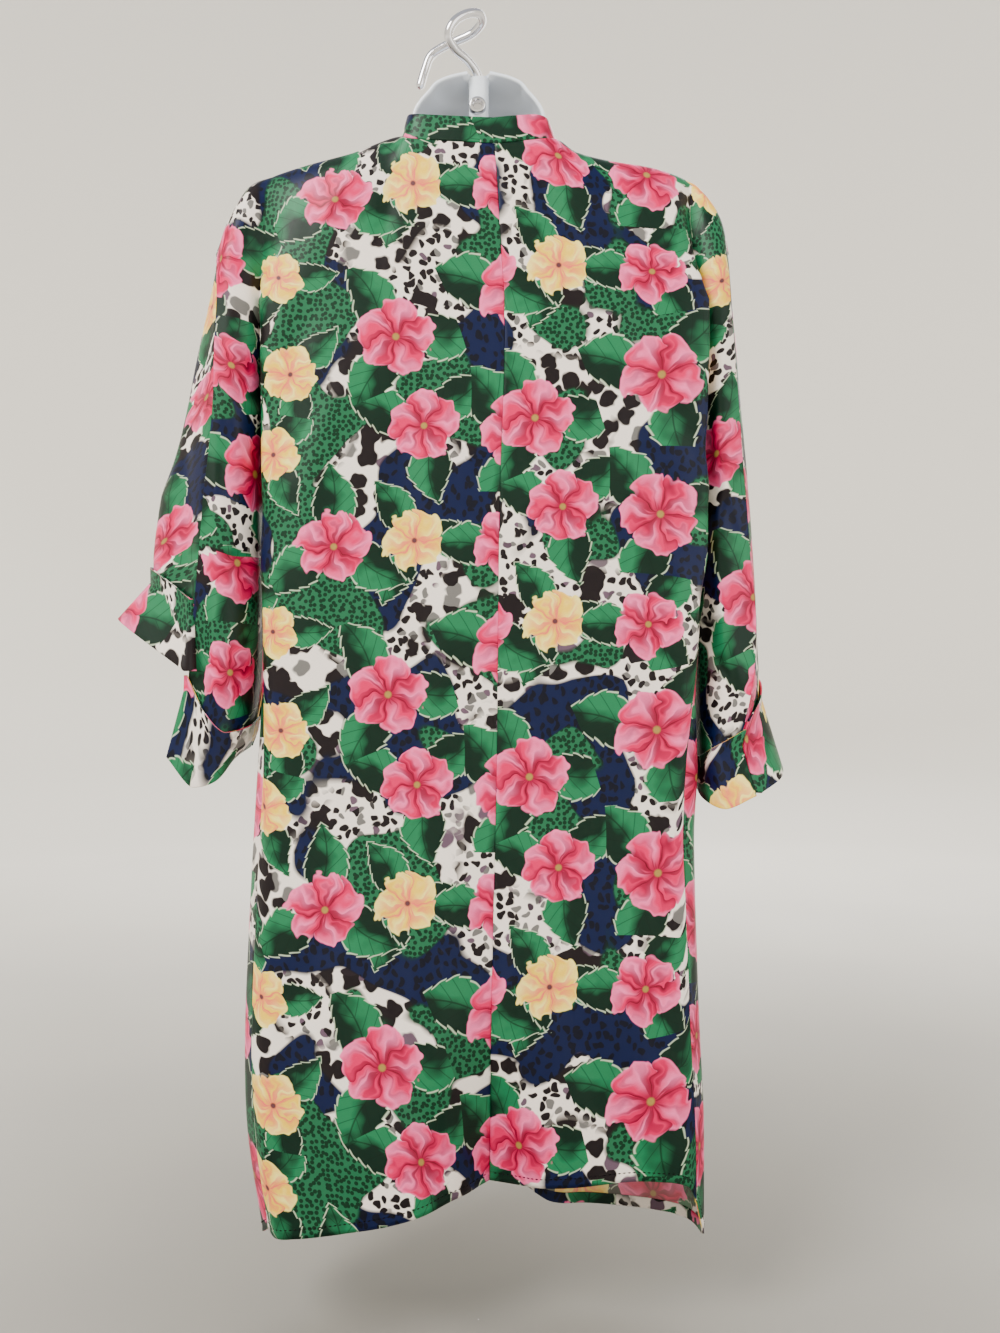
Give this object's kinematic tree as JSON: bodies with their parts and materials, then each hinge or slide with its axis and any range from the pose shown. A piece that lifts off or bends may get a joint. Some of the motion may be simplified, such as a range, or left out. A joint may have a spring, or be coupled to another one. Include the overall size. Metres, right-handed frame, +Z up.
{
  "type": "kimono robe on a hanging torso form",
  "caption": "Open fronted kimono robe with short sleeves cut in one with the body and turned back cuffs, on a hollow backed plastic form that hangs by a wire hook",
  "frame": {"origin": "the seat of the hook, on the inner side of its crest, where a rod or ring carries the part", "axes": "+Z up along the hanging length, the robe's front faces -Y and its back +Y, +X is the wearer's left seen from in front, which is the left of the picture"},
  "size_m": [0.6309, 0.2054, 1.1419],
  "materials": {
    "print_satin": "printed satin with a soft shine, flowers, leaves and animal spots on cream",
    "band_satin": "the same printed satin, doubled and pressed",
    "cuff_satin": "the same printed satin, doubled and turned back",
    "form_plastic": "smooth bluish white moulded plastic, slightly glossy",
    "nut_chrome": "bright plated steel",
    "hook_chrome": "bright plated steel wire"
  },
  "bodies": {
    "root": {"back_left": "print_satin", "back_right": "print_satin", "front_left": "print_satin", "front_right": "print_satin", "neck_band": "band_satin", "front_band_left": "band_satin", "front_band_right": "band_satin", "cuff_left_back": "cuff_satin", "cuff_left_front": "cuff_satin", "cuff_right_back": "cuff_satin", "cuff_right_front": "cuff_satin", "hanging_form": "form_plastic", "form_nut": "nut_chrome", "hook": "hook_chrome"}
  },
  "joints": []
}
